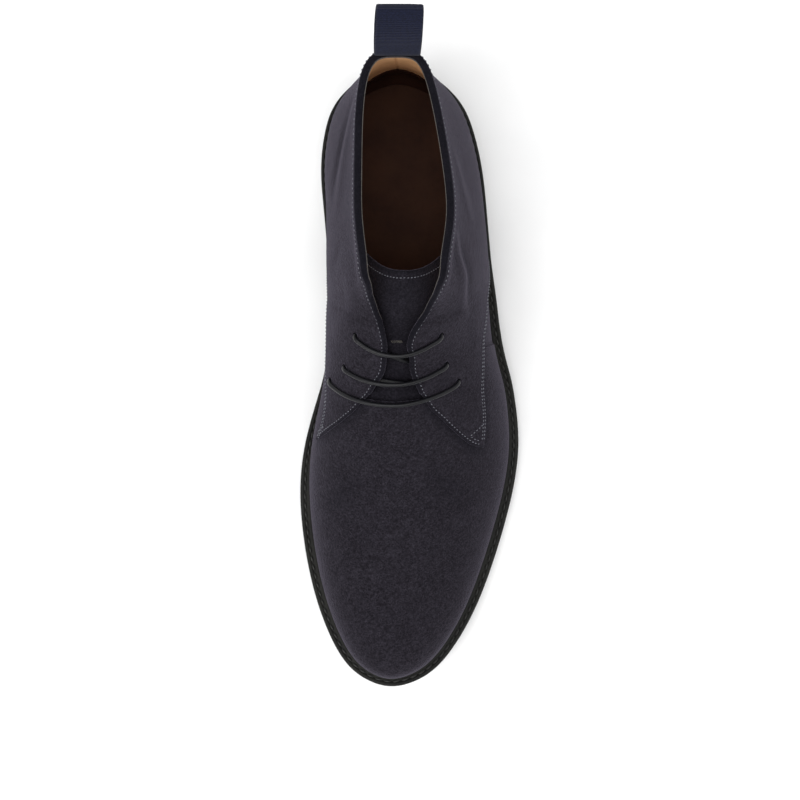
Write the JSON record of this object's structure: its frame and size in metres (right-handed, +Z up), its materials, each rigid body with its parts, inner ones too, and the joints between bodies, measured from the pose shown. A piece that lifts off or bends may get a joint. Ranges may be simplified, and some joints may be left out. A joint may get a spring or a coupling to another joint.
{
  "type": "chukka boot",
  "caption": "Ankle-high chukka boot for the left foot, suede upper over a welted rubber sole with heel, laced over the instep, with a webbing pull loop at the back.",
  "frame": {"origin": "on the ground, under the centre of the boot's bounding box", "axes": "+Z up, toe towards -Y, heel towards +Y, outer (lateral) side towards +X"},
  "size_m": [0.1082, 0.3108, 0.1502],
  "materials": {
    "suede": "brushed suede, dark navy charcoal",
    "lining_leather": "smooth dark brown lining leather",
    "sole_rubber": "moulded, matt black",
    "welt_leather": "dyed black, waxed",
    "lace_cord": "round waxed cotton cord",
    "webbing": "ribbed navy tape"
  },
  "bodies": {
    "root": {"outsole": "sole_rubber", "heel": "sole_rubber", "welt": "welt_leather", "insole": "lining_leather", "upper": "suede", "tongue": "suede", "lace": "lace_cord", "pull_loop": "webbing"}
  },
  "joints": []
}
